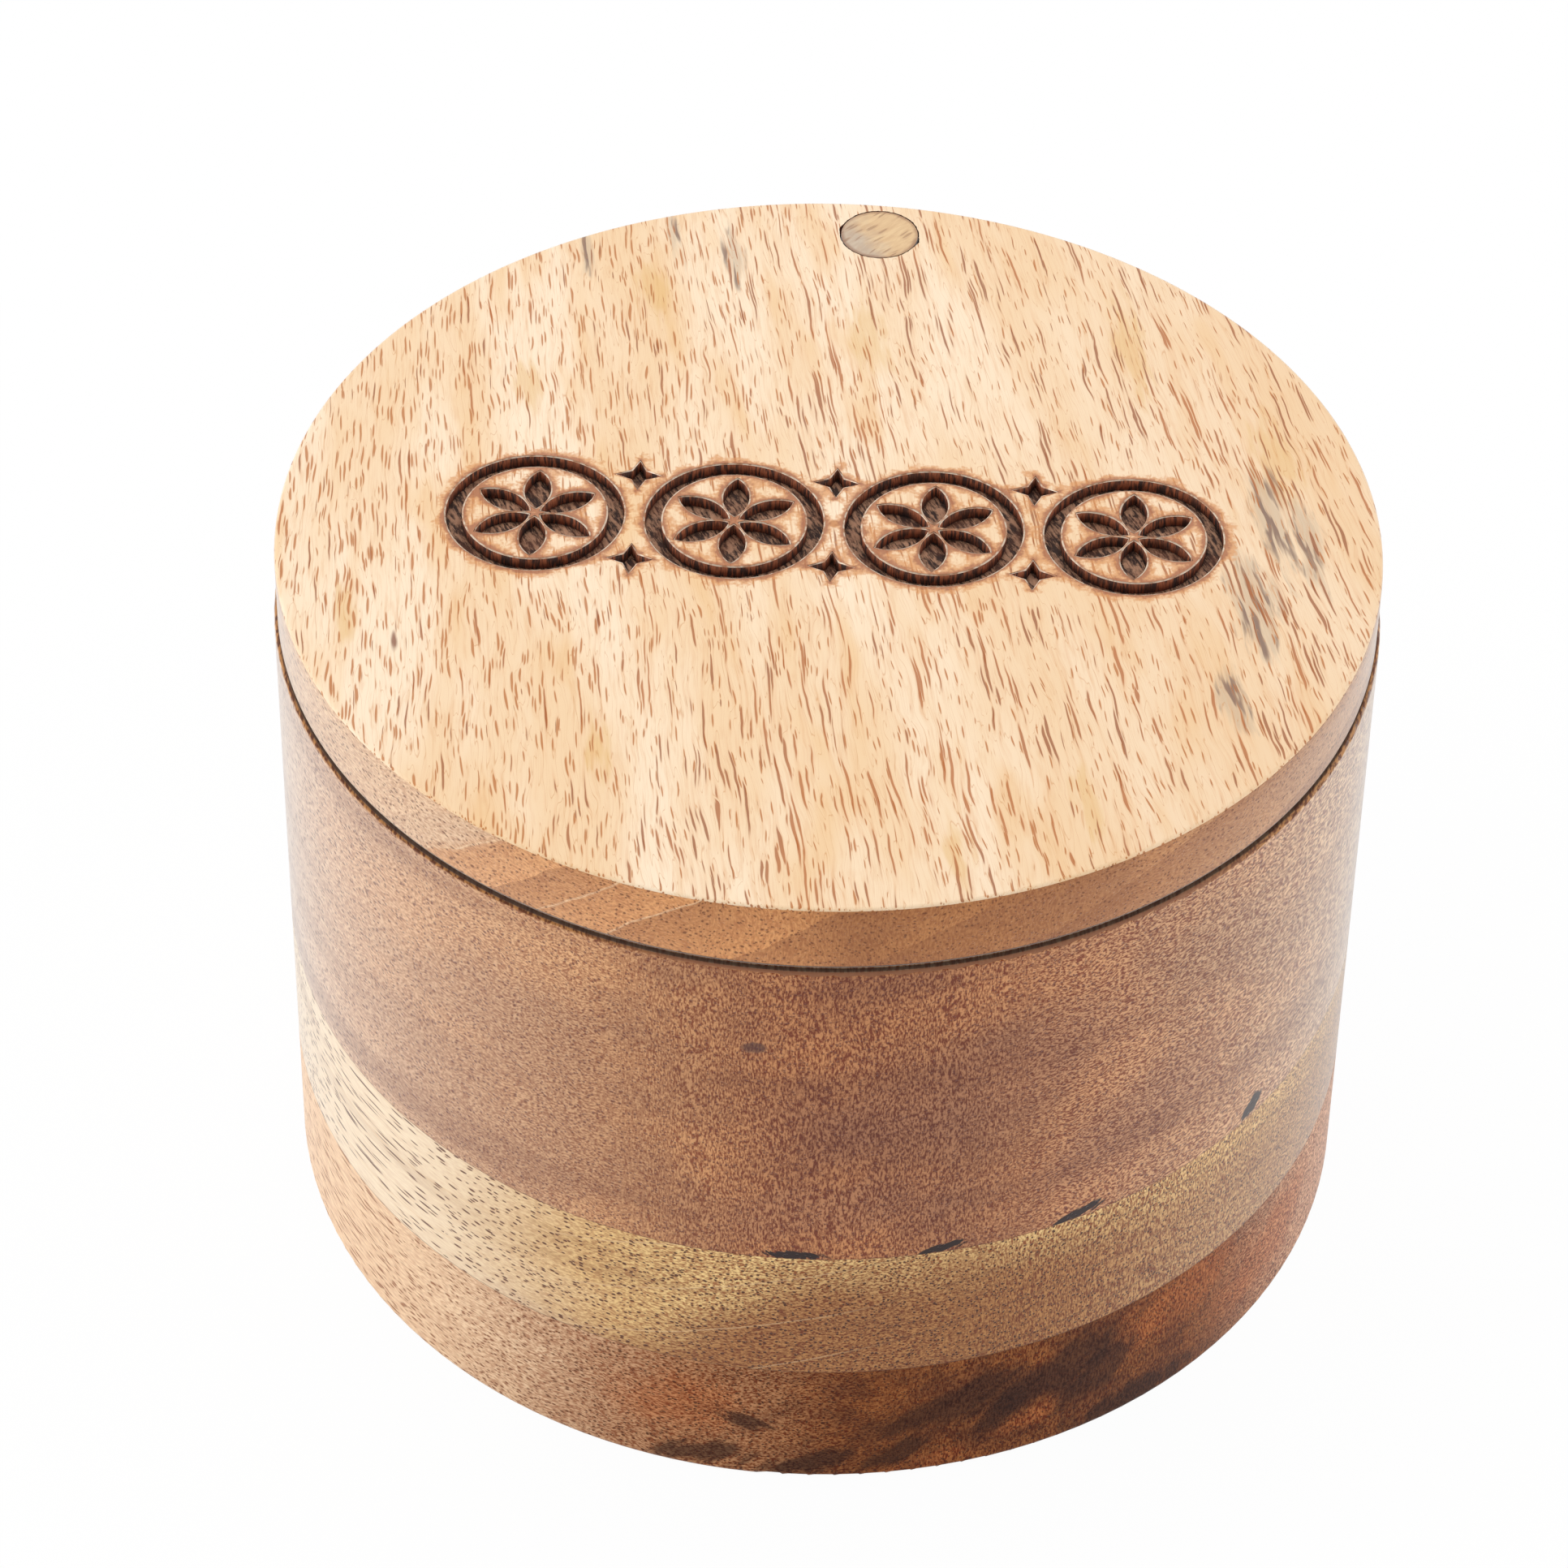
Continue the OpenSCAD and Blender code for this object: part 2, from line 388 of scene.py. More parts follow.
def base_wood():
    shade = Shade("wood_base", 0.36)
    oil(shade, sheen=0.12, gloss=0.06)
    grain = Grain(shade, 34.0, lift=1.4, sway=1.4, shift=23.0)
    place = shade.point()
    x = place[0]
    end = shade.facing(grain.direction)
    cloud = shade.noise(grain.across / 7, grain.along / 50, grain.z / 4.5, detail=4.0, roughness=0.6)
    mottle = shade.noise((grain.across - grain.z * 0.5) * 0.3, grain.along * 0.1, grain.z * 0.3,
                         detail=6.0, roughness=0.74)
    fleck = flecks(shade, grain, end)
    # Paler towards the left: partly the wood's own lighter side, partly painted sheen, as this finish has little
    # sheen of its own.
    pale = shade.ramp(x + cloud * 14.0, 2.0, -32.0)
    end_tone = shade.mix(shade.ramp(cloud, 0.36, 0.62), srgb(142, 82, 42), srgb(112, 62, 34))
    end_tone = shade.mix(shade.ramp(x, 10.0, -4.0), end_tone, srgb(172, 116, 78))
    tone = shade.mix(pale, end_tone, srgb(238, 202, 166))
    # Paler towards the right edge: painted sheen of the grazing edge.
    tone = shade.mix(shade.ramp(x, 40.0, 54.0) * 0.85, tone, srgb(206, 152, 118))
    for angle, height, half_width, half_height, lean in BASE_GLOWS:
        mark = wall_spot(shade, place, angle, height, half_width, half_height, lean, ragged=0.5, soft=1.0)
        tone = shade.mix(mark * 0.5, tone, srgb(178, 100, 54))
    tone = shade.mix(shade.ramp(mottle, 0.46, 0.64) * shade.ramp(x, -14.0, 4.0) * shade.ramp(x, 48.0, 36.0) * 0.42, tone,
                     srgb(72, 38, 24))
    for angle, height, half_width, half_height, lean in BASE_CLOUDS:
        mark = wall_spot(shade, place, angle, height, half_width, half_height, lean, ragged=0.7, soft=0.75)
        tone = shade.mix(mark * 0.78, tone, srgb(52, 27, 19))
    tone = speckled(shade, tone, fleck, shade.ramp(x, -40.0, 4.0) * 0.8 + 0.2)
    core, halo = vessels(shade, grain, 0.36, 4.0, 0.32)
    tone = shade.mix(halo * 0.18, tone, srgb(130, 74, 40))
    tone = shade.mix(core * 0.8, tone, shade.mix(pale, srgb(62, 30, 18), srgb(146, 84, 48)))
    return shade.finish(tone, bump=core * -1.0 + fleck * 0.4, roughness=fleck * 0.2 + 0.26)


# Grey streaks in the lid's top: right and away of its centre, half width and half length, in mm
SPALTING = [(43.0, 3.0, 2.2, 10.0), (46.5, 0.0, 1.5, 8.0), (41.0, -10.0, 2.5, 8.0),
            (38.0, -24.0, 1.6, 6.0), (-16.0, 47.0, 1.0, 5.0), (-10.0, 44.0, 1.2, 5.0),
            (-25.0, 44.0, 1.0, 4.0)]
GOLDEN_STREAKS = [(-21.5, -32.0, 1.3, 5.0), (-18.0, 38.0, 2.0, 6.0), (-30.0, 22.0, 1.6, 5.0),
                  (12.0, -45.0, 1.4, 5.0), (24.0, -38.0, 1.6, 6.0), (-46.0, -14.0, 1.2, 5.0),
                  (44.0, 12.0, 3.0, 8.0), (30.0, 30.0, 2.0, 9.0), (4.0, 30.0, 2.4, 7.0)]
DARK_STREAK = (-41.0, -17.5, 0.35, 1.9)
# The lathe's centre mark: right and away of the axis, and its radius, in mm
CENTRE_MARK = (0.5, 1.1)
CENTRE_MARK_R = 0.6
LID_HEADING = 13.4
BURN_SLANT = 18.0
PLUG_HEADING = -38.0


# Growth rings that show as pale lines in the lid's side, by their distance from the pith, in mm
LID_PITH = (49.3, -5.0)
LID_RING_LINES = [104.9, 108.8, 115.9]


def lid_wood():
    shade = Shade("wood_lid", 0.4)
    oil(shade)
    grain = Grain(shade, LID_HEADING, fan=0.00175, lift=1.8, sway=2.2, curl=0.55, shift=5.0)
    place = shade.point()
    x, y, z = place
    turned = math.radians(LID_HEADING)
    lean = (math.cos(turned), math.sin(turned))
    end = shade.facing(grain.direction)
    side = shade.ramp(shade.facing((0.0, 0.0, 1.0)), 0.5, 0.2)
    cloud = shade.noise(grain.across / 9, grain.along / 45, grain.z / 12, detail=3.0)
    warm = shade.noise(grain.across / 4.5, grain.along / 22, grain.z / 5 + 9.0, detail=2.0)
    fibre = shade.noise(grain.across * 2.6, grain.along * 0.22, grain.up * 2.6, detail=3.0, roughness=0.6)
    tone = shade.mix(shade.ramp(cloud, 0.34, 0.66), srgb(255, 232, 202), srgb(246, 212, 170))
    tone = shade.mix(shade.ramp(warm, 0.52, 0.72) * 0.6, tone, srgb(240, 196, 140))
    tone = shade.mix(shade.ramp(fibre, 0.50, 0.70) * 0.3, tone, srgb(228, 176, 124))
    tone = shade.mix(shade.ramp(x, 0.0, 44.0) * 0.4, tone, srgb(238, 198, 152))
    tone = shade.mix(side, tone, lid_wall(shade, grain, end, cloud))
    for right, away, half_width, half_length in GOLDEN_STREAKS:
        mark = streak(shade, grain, place, right, away, half_width, half_length, lean)
        tone = shade.mix(mark * 0.45, tone, srgb(226, 178, 98))
    smoke = shade.noise(grain.across * 1.5, grain.along * 0.12, grain.up * 0.6, detail=2.0)
    for right, away, half_width, half_length in SPALTING:
        mark = streak(shade, grain, place, right, away, half_width, half_length, lean)
        tone = shade.mix(mark * 0.5, tone, srgb(188, 168, 144))
        tone = shade.mix(mark * shade.ramp(smoke, 0.50, 0.58) * 0.8, tone, srgb(116, 84, 74))
    lines = shade.math("FRACT", shade.noise(grain.across * 0.7, grain.along * 0.03, grain.up * 0.7) * 13.0)
    line = shade.ramp(shade.math("ABSOLUTE", lines - 0.5), 0.055, 0.0)
    tone = shade.mix(line * (1.0 - side) * 0.45, tone, srgb(208, 138, 72))
    cluster = shade.noise(grain.across / 2.0, grain.along / 13, grain.up / 2.0, detail=1.0)
    left = shade.ramp(x, -2.0, -28.0)
    short, short_halo = vessels(shade, grain, 0.36, 5.0, 0.29, left * 0.3 + 0.75)
    gate = (shade.ramp(cluster, 0.36, 0.56) * 0.6 + 0.5) * (1.0 - left * 0.3)
    long, long_halo = vessels(shade, grain, 0.40, 14.0, 0.31, gate)
    top = 1.0 - side
    tone = shade.mix((short_halo * 0.15 + long_halo * 0.25) * top, tone, srgb(224, 160, 102))
    tone = shade.mix(short * top * 0.8, tone, srgb(186, 106, 34))
    bold_tone = shade.mix(shade.ramp(warm, 0.4, 0.6), srgb(146, 70, 14), srgb(180, 96, 26))
    tone = shade.mix(long * top * 0.78, tone, bold_tone)
    dots, dot_halo = vessels(shade, grain, 0.40, 5.0, 0.28)
    tone = shade.mix(dot_halo * side * 0.2, tone, srgb(150, 90, 52))
    tone = shade.mix(dots * side * 0.7, tone, srgb(108, 56, 28))
    # A dark line along the lid's lower rounded edge: painted shade of the gap under the lid.
    brink = shade.ramp(z, LID_BOTTOM / MM + 0.42, LID_BOTTOM / MM + 0.28)
    brink = brink * shade.ramp(shade.facing((0.0, 0.0, 1.0)), 0.95, 0.8)
    tone = shade.mix(brink * 0.85, tone, srgb(46, 26, 18))
    mark = streak(shade, grain, place, *DARK_STREAK, lean)
    tone = shade.mix(mark * 0.85, tone, srgb(130, 70, 44))
    cx, cy = seen_from_camera(*CENTRE_MARK)
    from_mark = ((x - cx) * (x - cx) + (y - cy) * (y - cy)) ** 0.5
    tone = shade.mix(shade.ramp(from_mark, CENTRE_MARK_R, CENTRE_MARK_R * 0.7) * 0.8, tone, srgb(136, 84, 58))
    tone = scorch(shade, place, tone)
    return shade.finish(tone, bump=(short + long) * -1.0 + fibre * 0.3, roughness=fibre * 0.15 + 0.38)


def lid_wall(shade, grain, end, cloud):
    """The colour of the lid's side, with its growth rings."""
    reach = from_pith(shade, grain, LID_PITH, 1.2)
    tone = shade.mix(shade.ramp(cloud, 0.36, 0.64), srgb(193, 127, 74), srgb(174, 111, 64))
    tone = shade.mix(shade.ramp(grain.across, -2.0, -12.0), tone, srgb(228, 156, 96))
    tone = shade.mix(end ** 1.6, srgb(222, 180, 140), tone)
    season = shade.math("FRACT", reach / 7.0 + 0.02)
    tone = shade.mix(season * 0.45, tone, srgb(150, 90, 52))
    tone = shade.mix(shade.ramp(reach, LID_RING_LINES[-1] - 0.6, LID_RING_LINES[-1] + 0.8) * 0.75, tone,
                     srgb(228, 192, 158))
    for radius in LID_RING_LINES:
        line = shade.ramp(shade.math("ABSOLUTE", reach - radius), 0.16, 0.0)
        tone = shade.mix(line * 0.6, tone, srgb(240, 204, 164))
    fleck = flecks(shade, grain, end)
    return speckled(shade, tone, fleck, 0.3)


def streak(shade, grain, place, right, away, half_width, half_length, lean):
    """A long soft patch of the lid's top that follows its grain."""
    x, y, _ = place
    cx, cy = seen_from_camera(right, away)
    side = ((x - cx) * lean[0] + (y - cy) * lean[1]) / half_width
    length = ((y - cy) * lean[0] - (x - cx) * lean[1]) / half_length
    edge = shade.noise(grain.across * 1.1, grain.along * 0.16, grain.up * 0.4, detail=3.0) - 0.5
    reach = (side * side + length * length) ** 0.5 + edge * 2.2
    return shade.ramp(reach, 1.1, 0.35)


def scorch(shade, place, tone):
    """The ragged brown halo that the burnt carving leaves on the wood round it."""
    x, y, z = place
    away = shade.node("Attribute", {}, attribute_name="from_carving").outputs["Fac"]
    away = Value(shade, away)
    ragged = shade.noise(x * 0.45, y * 0.45, z, detail=3.0, roughness=0.6) - 0.5
    fine = shade.noise(x * 3.0, y * 3.0, z, detail=2.0) - 0.5
    reach = away + ragged * 3.4 + fine * 1.2
    tone = shade.mix(shade.ramp(reach, 1.05, 0.35) * 0.75, tone, srgb(218, 150, 90))
    return shade.mix(shade.ramp(away + ragged * 1.6 + fine * 0.8, 0.55, 0.05) * 0.75, tone, srgb(158, 92, 62))


def burnt_wood(name, pale, dark, upright):
    """The burnt inside of the carving: streaks along the grain on its floor, or up its walls."""
    shade = Shade(name, 0.8)
    grain = Grain(shade, LID_HEADING + BURN_SLANT)
    x, y, z = shade.point()
    if upright:
        rough = shade.noise(x * 2.6, y * 2.6, z * 0.4, detail=2.0, roughness=0.7)
    else:
        rough = shade.noise(grain.across * 2.4, grain.along * 0.55, grain.up, detail=3.0, roughness=0.7)
    patch = shade.noise(x / 3, y / 3, z / 2, detail=2.0)
    tone = shade.mix(shade.ramp(rough, 0.40, 0.62), dark, pale)
    tone = shade.mix(shade.ramp(patch, 0.45, 0.7) * 0.4, tone, srgb(120, 66, 40))
    return shade.finish(tone, bump=rough, bump_height=0.15 * MM)


def worn_edge():
    """The pale line where a finger has worn the carving's brink."""
    shade = Shade("carved_brink", 0.5)
    x, y, z = shade.point()
    wear = shade.noise(x * 1.4, y * 1.4, z, detail=3.0)
    return shade.finish(shade.mix(shade.ramp(wear, 0.36, 0.6), srgb(206, 150, 112), srgb(255, 232, 206)))


def plug_wood():
    shade = Shade("wood_plug", 0.5)
    oil(shade)
    x, y, z = shade.point()
    centre = (PLUG_LOW + PLUG_HIGH) / 2 / MM
    grain = Grain(shade, PLUG_HEADING, sway=1.5, curl=1.0)
    cloud = shade.noise(x / 2.6, y / 2.6, z / 8, detail=3.0)
    grey = shade.ramp((x - centre.x) * -0.16 + (y - centre.y) * -0.10 + cloud, 0.35, 1.0)
    tone = shade.mix(grey, srgb(226, 190, 144), srgb(200, 178, 154))
    fibre = shade.noise(grain.across * 1.7, grain.along * 0.4, grain.up * 0.8, detail=3.0, roughness=0.65)
    tone = speckled(shade, tone, fibre, 0.12)
    core, halo = vessels(shade, grain, 0.40, 2.4, 0.30)
    tone = shade.mix(halo * 0.25, tone, srgb(186, 138, 98))
    tone = shade.mix(core * 0.4, tone, srgb(134, 92, 66))
    rim = ((x - centre.x) * (x - centre.x) + (y - centre.y) * (y - centre.y)) ** 0.5
    rim = rim + (cloud - 0.5) * 0.8
    tone = shade.mix(shade.ramp(rim, 3.45, 3.95) * 0.65, tone, srgb(140, 92, 66))
    return shade.finish(tone, bump=core * -1.0 + fibre * 0.4)


def zinc_steel():
    shade = Shade("screw_steel", 0.35)
    shade.shader.inputs["Metallic"].default_value = 1.0
    x, y, z = shade.point()
    haze = shade.noise(x / 2, y / 2, z / 2, detail=4.0)
    scratch = shade.noise(x * 7, y * 1.5, z * 7, detail=2.0)
    tone = shade.mix(shade.ramp(haze, 0.3, 0.7), srgb(206, 204, 198), srgb(176, 174, 168))
    return shade.finish(tone, bump=scratch, bump_height=0.01 * MM, roughness=haze * 0.3 + 0.2)


def nickel_plate():
    shade = Shade("magnet_plate", 0.2)
    shade.shader.inputs["Metallic"].default_value = 1.0
    x, y, z = shade.point()
    haze = shade.noise(x / 1.5, y / 1.5, z / 2, detail=3.0)
    scratch = shade.noise(x * 1.5, y * 9, z, detail=2.0)
    tone = shade.mix(shade.ramp(haze, 0.35, 0.7), srgb(214, 210, 202), srgb(190, 186, 178))
    return shade.finish(tone, bump=scratch, bump_height=0.006 * MM, roughness=haze * 0.25 + 0.12)


def nylon():
    shade = Shade("washer_nylon", 0.5)
    x, y, z = shade.point()
    haze = shade.noise(x / 2, y / 2, z / 2, detail=3.0)
    grit = shade.noise(x * 4, y * 4, z * 4, detail=2.0)
    tone = shade.mix(shade.ramp(haze, 0.3, 0.7), srgb(236, 232, 220), srgb(222, 216, 200))
    shade.shader.inputs["Subsurface Weight"].default_value = 0.1
    return shade.finish(tone, bump=grit, bump_height=0.01 * MM)


# The carved frieze: rosettes of six petals drawn with a compass, each in a ring
ROSETTES = 4
ROSETTE_PITCH = 19.4 * MM
RING_R = 8.7 * MM
RING_W = 1.6 * MM
PETAL_R = 6.45 * MM
PETAL_START = 0.6 * MM
PETAL_HALF_ARC = 48
NICK_HALF = 2.2 * MM
CARVE_DEPTH = 1.25 * MM
EDGE_WEAR = 0.16 * MM
EDGE_WEAR_DEPTH = 0.06 * MM
FRIEZE_TURN = 3.7
FRIEZE_CENTRE = seen_from_camera(0.5, 1.0) * MM


def loop_round(centre, radius, count, clockwise=False):
    sign = -1 if clockwise else 1
    return [Vector((centre[0] + radius * math.cos(sign * math.tau * i / count),
                    centre[1] + radius * math.sin(sign * math.tau * i / count)))
            for i in range(count)]


def petal(centre, angle):
    """A lens from near the centre to the petal's tip, between two arcs of the compass."""
    axis = Vector((math.cos(angle), math.sin(angle)))
    side = Vector((-axis.y, axis.x))
    length = PETAL_R - PETAL_START
    half_arc = math.radians(PETAL_HALF_ARC)
    arc_r = length / 2 / math.sin(half_arc)
    steps = 14
    outline = []
    for sign in (1, -1):
        for i in range(steps):
            share = i / steps if sign == 1 else 1 - i / steps
            arc = half_arc * (2 * share - 1)
            height = arc_r * (math.cos(arc) - math.cos(half_arc))
            along = length / 2 + arc_r * math.sin(arc)
            outline.append(centre + axis * (PETAL_START + along) - side * sign * height)
    return outline


def nick(centre, half, angle):
    """A small pointed lozenge with hollow sides."""
    outline = []
    for i in range(4):
        tip = angle + math.tau * i / 4
        waist = tip + math.tau / 8
        outline.append(centre + Vector((math.cos(tip), math.sin(tip))) * half)
        outline.append(centre + Vector((math.cos(waist), math.sin(waist))) * half * 0.42)
    return outline


def frieze_outlines():
    """Every carved outline, anticlockwise round what is cut away, in the lid's plane."""
    turn = math.radians(FRIEZE_TURN)
    right = Vector((math.cos(turn), math.sin(turn)))
    away = Vector((-right.y, right.x))
    outlines = []
    for i in range(ROSETTES):
        centre = FRIEZE_CENTRE + right * ((i - (ROSETTES - 1) / 2) * ROSETTE_PITCH)
        outlines.append(loop_round(centre, RING_R, 96))
        outlines.append(loop_round(centre, RING_R - RING_W, 96, clockwise=True))
        for k in range(6):
            outlines.append(petal(centre, turn + math.radians(30 + 60 * k)))
    for i in range(ROSETTES - 1):
        middle = FRIEZE_CENTRE + right * ((i - (ROSETTES - 2) / 2) * ROSETTE_PITCH)
        for sign in (1, -1):
            outlines.append(nick(middle + away * sign * 6.4 * MM, NICK_HALF, turn))
    return [Outline(o) for o in outlines]


def moved_out(outline, distance):
    """The outline with each point moved off what is cut away."""
    result = []
    for i, here in enumerate(outline):
        before = outline[i - 1]
        after = outline[(i + 1) % len(outline)]
        run = (here - before).normalized() + (after - here).normalized()
        if run.length < 1e-6:
            run = after - before
        normal = Vector((run.y, -run.x)).normalized()
        result.append(here + normal * distance)
    return Outline(result)


class Outline(list):
    """A closed line of points in the lid's plane."""

    def __init__(self, points):
        super().__init__(points)
        self.low = (min(p.x for p in points), min(p.y for p in points))
        self.high = (max(p.x for p in points), max(p.y for p in points))

    def holds(self, point):
        """Whether a point is within the line."""
        px, py = point.x, point.y
        if not (self.low[0] < px < self.high[0] and self.low[1] < py < self.high[1]):
            return False
        hit = False
        a = self[-1]
        for b in self:
            if (a.y > py) != (b.y > py) and px < (b.x - a.x) * (py - a.y) / (b.y - a.y) + a.x:
                hit = not hit
            a = b
        return hit


class Solid:
    """Points and faces of a piece that is put together from flat areas and strips."""

    def __init__(self):
        self.points = []
        self.faces = []
        self.kinds = []

    def ring(self, outline, z):
        start = len(self.points)
        self.points += [(p.x, p.y, z) for p in outline]
        return list(range(start, len(self.points)))

    def strip(self, low, high, kind):
        """Faces between two rings of equal length, seen from the right of their run."""
        count = len(low)
        for i in range(count):
            k = (i + 1) % count
            self.faces.append((low[i], low[k], high[k], high[i]))
            self.kinds.append(kind)

    def area(self, loops, inner, z_of, kind, up, keep):
        """A flat area between rings that exist already, with points of its own inside them."""
        ids = [i for ring in loops for i in ring]
        flat = [Vector(self.points[i][:2]) for i in ids]
        edges = []
        start = 0
        for ring in loops:
            count = len(ring)
            edges += [(start + i, start + (i + 1) % count) for i in range(count)]
            start += count
        made = delaunay_2d_cdt(flat + inner, edges, [], 0, 1e-9)
        places, faces, origins = made[0], made[2], made[3]
        number = {}
        for i, source in enumerate(origins):
            known = [s for s in source if s < len(ids)]
            if known:
                number[i] = ids[known[0]]
        for face in faces:
            centre = sum((places[i] for i in face), Vector((0, 0))) / len(face)
            if not keep(centre):
                continue
            for i in face:
                if i not in number:
                    number[i] = len(self.points)
                    self.points.append((places[i].x, places[i].y, z_of(places[i])))
            corners = [number[i] for i in face]
            self.faces.append(tuple(corners if up else reversed(corners)))
            self.kinds.append(kind)

    def build(self, name, materials):
        mesh = bpy.data.meshes.new(name)
        mesh.from_pydata(self.points, [], self.faces)
        for material in materials:
            mesh.materials.append(material)
        mesh.polygons.foreach_set("material_index", self.kinds)
        mesh.validate()
        mesh.update()
        made = bpy.data.objects.new(name, mesh)
        bpy.context.scene.collection.objects.link(made)
        return made


def grid_points(low, high, step, keep, jitter):
    """Points of a grid, each moved a little, where keep allows."""
    rng = random.Random(7)
    found = []
    y = low.y
    while y < high.y:
        x = low.x
        while x < high.x:
            here = Vector((x + rng.uniform(-jitter, jitter), y + rng.uniform(-jitter, jitter)))
            if keep(here):
                found.append(here)
            x += step
        y += step
    return found


PLAIN, FLOOR, WALL, BRINK = 0, 1, 2, 3
EDGE_STEPS = 4
LID_EDGE_R = 0.4 * MM
COUNTERBORE_WEAR = 0.12 * MM
COUNTERBORE_WEAR_DEPTH = 0.5 * MM
SHANK_HOLE_R = 2.05 * MM
GLUE_GAP = 0.05 * MM
ROUND = 256


def carved_lid():
    """The lid as one closed mesh, with the frieze cut into its top and the holes of the real one."""
    solid = Solid()
    outlines = frieze_outlines()
    worn = [moved_out(o, EDGE_WEAR) for o in outlines]
    pivot = ((PLUG_LOW + PLUG_HIGH) / 2).to_2d()
    latch = ((MAGNET_LOW + MAGNET_HIGH) / 2).to_2d()
    bore_r = (PLUG_HIGH.x - PLUG_LOW.x) / 2 + GLUE_GAP
    pocket_r = (MAGNET_HIGH.x - MAGNET_LOW.x) / 2 + GLUE_GAP
    pocket_top = MAGNET_HIGH.z + GLUE_GAP
    rng = random.Random(3)

    profile = [(LID_R - LID_EDGE_R * (1 - math.sin(a)), LID_BOTTOM + LID_EDGE_R * (1 - math.cos(a)))
               for a in (math.pi / 2 * i / EDGE_STEPS for i in range(EDGE_STEPS + 1))]
    profile += [(LID_R, LID_BOTTOM + (LID_TOP - LID_BOTTOM) * s) for s in (0.3, 0.5, 0.7)]
    profile += [(LID_R - LID_EDGE_R * (1 - math.cos(a)), LID_TOP - LID_EDGE_R * (1 - math.sin(a)))
                for a in (math.pi / 2 * i / EDGE_STEPS for i in range(EDGE_STEPS + 1))]
    turned = [solid.ring(loop_round((0, 0), r, ROUND), z) for r, z in profile]
    for low, high in zip(turned, turned[1:]):
        solid.strip(low, high, PLAIN)

    torn = []
    for i, p in enumerate(loop_round(pivot, bore_r, 96)):
        out = (p - pivot).normalized()
        angle = math.degrees(math.atan2(out.y, out.x))
        tear = max(math.exp(-((angle - t + 180) % 360 - 180) ** 2 / 60) for t in (-12, 172))
        torn.append(p + out * (COUNTERBORE_WEAR * rng.uniform(0.35, 1.0) + 0.18 * MM * tear))
    torn = Outline(torn)
    bore_top = solid.ring(torn, LID_TOP)
    bore_worn = solid.ring(loop_round(pivot, bore_r, 96), LID_TOP - COUNTERBORE_WEAR_DEPTH)
    bore_low = solid.ring(loop_round(pivot, bore_r, 96), WASHER_LOW.z)
    solid.strip(bore_worn, bore_top, WALL)
    solid.strip(bore_low, bore_worn, PLAIN)
    hole_top = solid.ring(loop_round(pivot, SHANK_HOLE_R, 48), WASHER_LOW.z)
    hole_low = solid.ring(loop_round(pivot, SHANK_HOLE_R, 48), LID_BOTTOM)
    solid.strip(hole_low, hole_top, PLAIN)
    pocket_high = solid.ring(loop_round(latch, pocket_r, 64), pocket_top)
    pocket_low = solid.ring(loop_round(latch, pocket_r, 64), LID_BOTTOM)
    solid.strip(pocket_low, pocket_high, PLAIN)
    solid.area([pocket_high], [], lambda p: pocket_top, PLAIN, False, lambda p: True)
    solid.area([bore_low, hole_top], [], lambda p: WASHER_LOW.z, PLAIN, True,
               lambda p: SHANK_HOLE_R < (p - pivot).length)
    solid.area([turned[0], hole_low, pocket_low], [], lambda p: LID_BOTTOM, PLAIN, False,
               lambda p: (p - pivot).length > SHANK_HOLE_R and (p - latch).length > pocket_r)

    tops = [solid.ring(o, LID_TOP) for o in worn]
    brinks = [solid.ring(o, LID_TOP - EDGE_WEAR_DEPTH) for o in outlines]
    feet = [solid.ring(o, LID_TOP - CARVE_DEPTH) for o in outlines]
    for top, brink, foot in zip(tops, brinks, feet):
        solid.strip(brink, top, BRINK)
        solid.strip(foot, brink, WALL)

    near = kdtree.KDTree(sum(len(o) for o in worn))
    index = 0
    for outline in worn:
        for p in outline:
            near.insert((p.x, p.y, 0), index)
            index += 1
    near.balance()
    reach = Vector((ROSETTE_PITCH * 2 + 2.5 * MM, RING_R + 5 * MM))

    def cut_away(p, loops):
        return sum(o.holds(p) for o in loops) % 2 == 1

    def by_the_frieze(p):
        gap = near.find((p.x, p.y, 0))[2]
        return 0.18 * MM < gap < 2.2 * MM and not cut_away(p, worn)

    def on_open_top(p):
        gap = near.find((p.x, p.y, 0))[2]
        return gap > 2.4 * MM and p.length < LID_R - 1 * MM and (p - pivot).length > bore_r + 1.2 * MM

    inner = grid_points(FRIEZE_CENTRE - reach, FRIEZE_CENTRE + reach, 0.42 * MM, by_the_frieze, 0.05 * MM)
    inner += grid_points(Vector((-LID_R, -LID_R)), Vector((LID_R, LID_R)), 2.4 * MM, on_open_top, 0.3 * MM)
    solid.area([turned[-1], bore_top, *tops], inner, lambda p: LID_TOP, PLAIN, True,
               lambda p: not torn.holds(p) and not cut_away(p, worn))

    def within_carving(p):
        return near.find((p.x, p.y, 0))[2] > 0.25 * MM and cut_away(p, outlines)

    floor_points = grid_points(FRIEZE_CENTRE - reach, FRIEZE_CENTRE + reach, 0.3 * MM,
                               within_carving, 0.08 * MM)
    solid.area(feet, floor_points, lambda p: LID_TOP - CARVE_DEPTH + rng.uniform(-0.09, 0.09) * MM,
               FLOOR, True, lambda p: cut_away(p, outlines))

